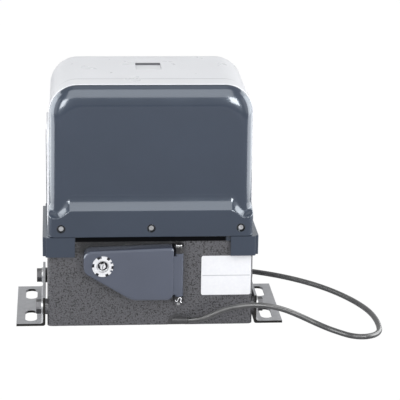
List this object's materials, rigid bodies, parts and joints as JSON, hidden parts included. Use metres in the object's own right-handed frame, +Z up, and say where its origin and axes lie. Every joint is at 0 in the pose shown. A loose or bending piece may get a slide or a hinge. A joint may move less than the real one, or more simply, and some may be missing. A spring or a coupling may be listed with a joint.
{
  "type": "sliding gate motor",
  "caption": "Sliding gate operator: cast base with foot brackets, worm-driven rack pinion, hinged lockable release door, domed cover and a mains cord.",
  "frame": {"origin": "ground point at the centre of the base casting's footprint", "axes": "+X to the right when facing the release door, +Y from the door side towards the gate and rack, +Z up"},
  "size_m": [0.4623, 0.3614, 0.3175],
  "materials": {
    "hammertone_casting": "dark grey hammertone stove paint with black speckles",
    "slate_plastic": "slate blue-grey moulded plastic, semi-gloss",
    "pale_plastic": "pale grey-white moulded plastic, satin",
    "zinc_plate": "bright zinc plated sheet steel",
    "zinc_fastener": "zinc plated fastener",
    "gear_steel": "machined steel, lightly oiled",
    "bearing_steel": "ground bearing steel",
    "bronze": "bronze gear rim, machined",
    "chrome_lock": "nickel plated zinc lock body",
    "lamination": "stacked electrical steel, varnished",
    "copper_winding": "enamelled copper winding",
    "aluminium_body": "die-cast aluminium, as cast",
    "black_rubber": "black moulded rubber",
    "black_cord": "black flexible cord sheath, satin",
    "black_plastic": "black moulded plastic",
    "board_green": "green solder-masked circuit board",
    "terminal_green": "green terminal block plastic",
    "relay_blue": "blue relay case",
    "capacitor_white": "white capacitor can",
    "label_white": "white self-adhesive film, no print",
    "plug_brass": "nickel plated brass pins"
  },
  "bodies": {
    "root": {"base_casting": "hammertone_casting", "base_collar": "slate_plastic", "cover_front_panel": "slate_plastic", "cover_bezel": "pale_plastic", "cover_shell": "pale_plastic", "side_inlays": "slate_plastic", "top_badge": "pale_plastic", "cover_screws": "zinc_fastener", "right_bracket": "zinc_plate", "left_bracket": "zinc_plate", "bracket_bolts": "zinc_fastener", "bracket_washers": "zinc_fastener", "gearbox_lid": "aluminium_body", "lid_screws": "zinc_fastener", "output_bearings": "bearing_steel", "oil_seal": "black_rubber", "motor_bearings": "bearing_steel", "stator_core": "lamination", "stator_windings": "copper_winding", "motor_housing": "aluminium_body", "motor_end_cap": "aluminium_body", "board_tray": "black_plastic", "control_board": "board_green", "board_screws": "zinc_fastener", "terminal_blocks": "terminal_green", "relays": "relay_blue", "transformer": "lamination", "capacitor": "capacitor_white", "capacitor_clip": "black_plastic", "limit_switch_housing": "black_plastic", "hinge_pin": "zinc_fastener", "hinge_clip": "gear_steel", "release_spring": "gear_steel", "rating_label": "label_white", "cord_relief": "black_rubber", "mains_cord_run": "black_cord", "mains_cord_coil": "black_cord", "mains_plug": "black_rubber", "plug_pins": "plug_brass"},
    "output": {"output_shaft": "gear_steel", "worm_wheel": "bronze", "wheel_key": "gear_steel", "drive_pinion": "gear_steel", "pinion_key": "gear_steel", "pinion_bolt": "zinc_fastener"},
    "rotor": {"rotor_shaft": "gear_steel", "rotor_core": "lamination"},
    "door": {"release_door": "slate_plastic", "lock_barrel": "chrome_lock", "lock_nut": "zinc_fastener"},
    "lock": {"lock_plug": "chrome_lock", "lock_cam": "zinc_fastener", "cam_screw": "zinc_fastener"},
    "release_pin": {"release_pin": "gear_steel"},
    "limit_lever": {"limit_lever_hub": "black_plastic", "limit_lever_rod": "zinc_fastener"}
  },
  "joints": [
    {"name": "rotor_spin", "type": "hinge", "parent": "root", "child": "rotor", "pos_m": [0.05, 0.005, 0.065], "axis": [0, 0, 1], "continuous": true},
    {"name": "output_spin", "type": "hinge", "parent": "root", "child": "output", "pos_m": [0, 0.005, 0.065], "axis": [0, 1, 0], "continuous": true},
    {"name": "release_door_hinge", "type": "hinge", "parent": "root", "child": "door", "pos_m": [0.0345, -0.0825, 0.0717], "axis": [0, 0, 1], "range_deg": [0, 95]},
    {"name": "lock_turn", "type": "hinge", "parent": "door", "child": "lock", "pos_m": [-0.0607, -0.0885, 0.086], "axis": [0, 1, 0], "range_deg": [0, 90]},
    {"name": "release_pin_slide", "type": "slide", "parent": "root", "child": "release_pin", "axis": [0, -1, 0], "range_m": [0, 0.00801]},
    {"name": "limit_lever_hinge", "type": "hinge", "parent": "root", "child": "limit_lever", "pos_m": [0, 0.084, 0.133], "axis": [0, 0, 1], "range_deg": [-25, 25], "stiffness_Nm_per_rad": 0.05}
  ],
  "couplings": [
    {"joint": "output_spin", "follows": "rotor_spin", "ratio": 0.033333},
    {"joint": "release_pin_slide", "follows": "release_door_hinge", "m_per_rad": 0.0048249}
  ]
}
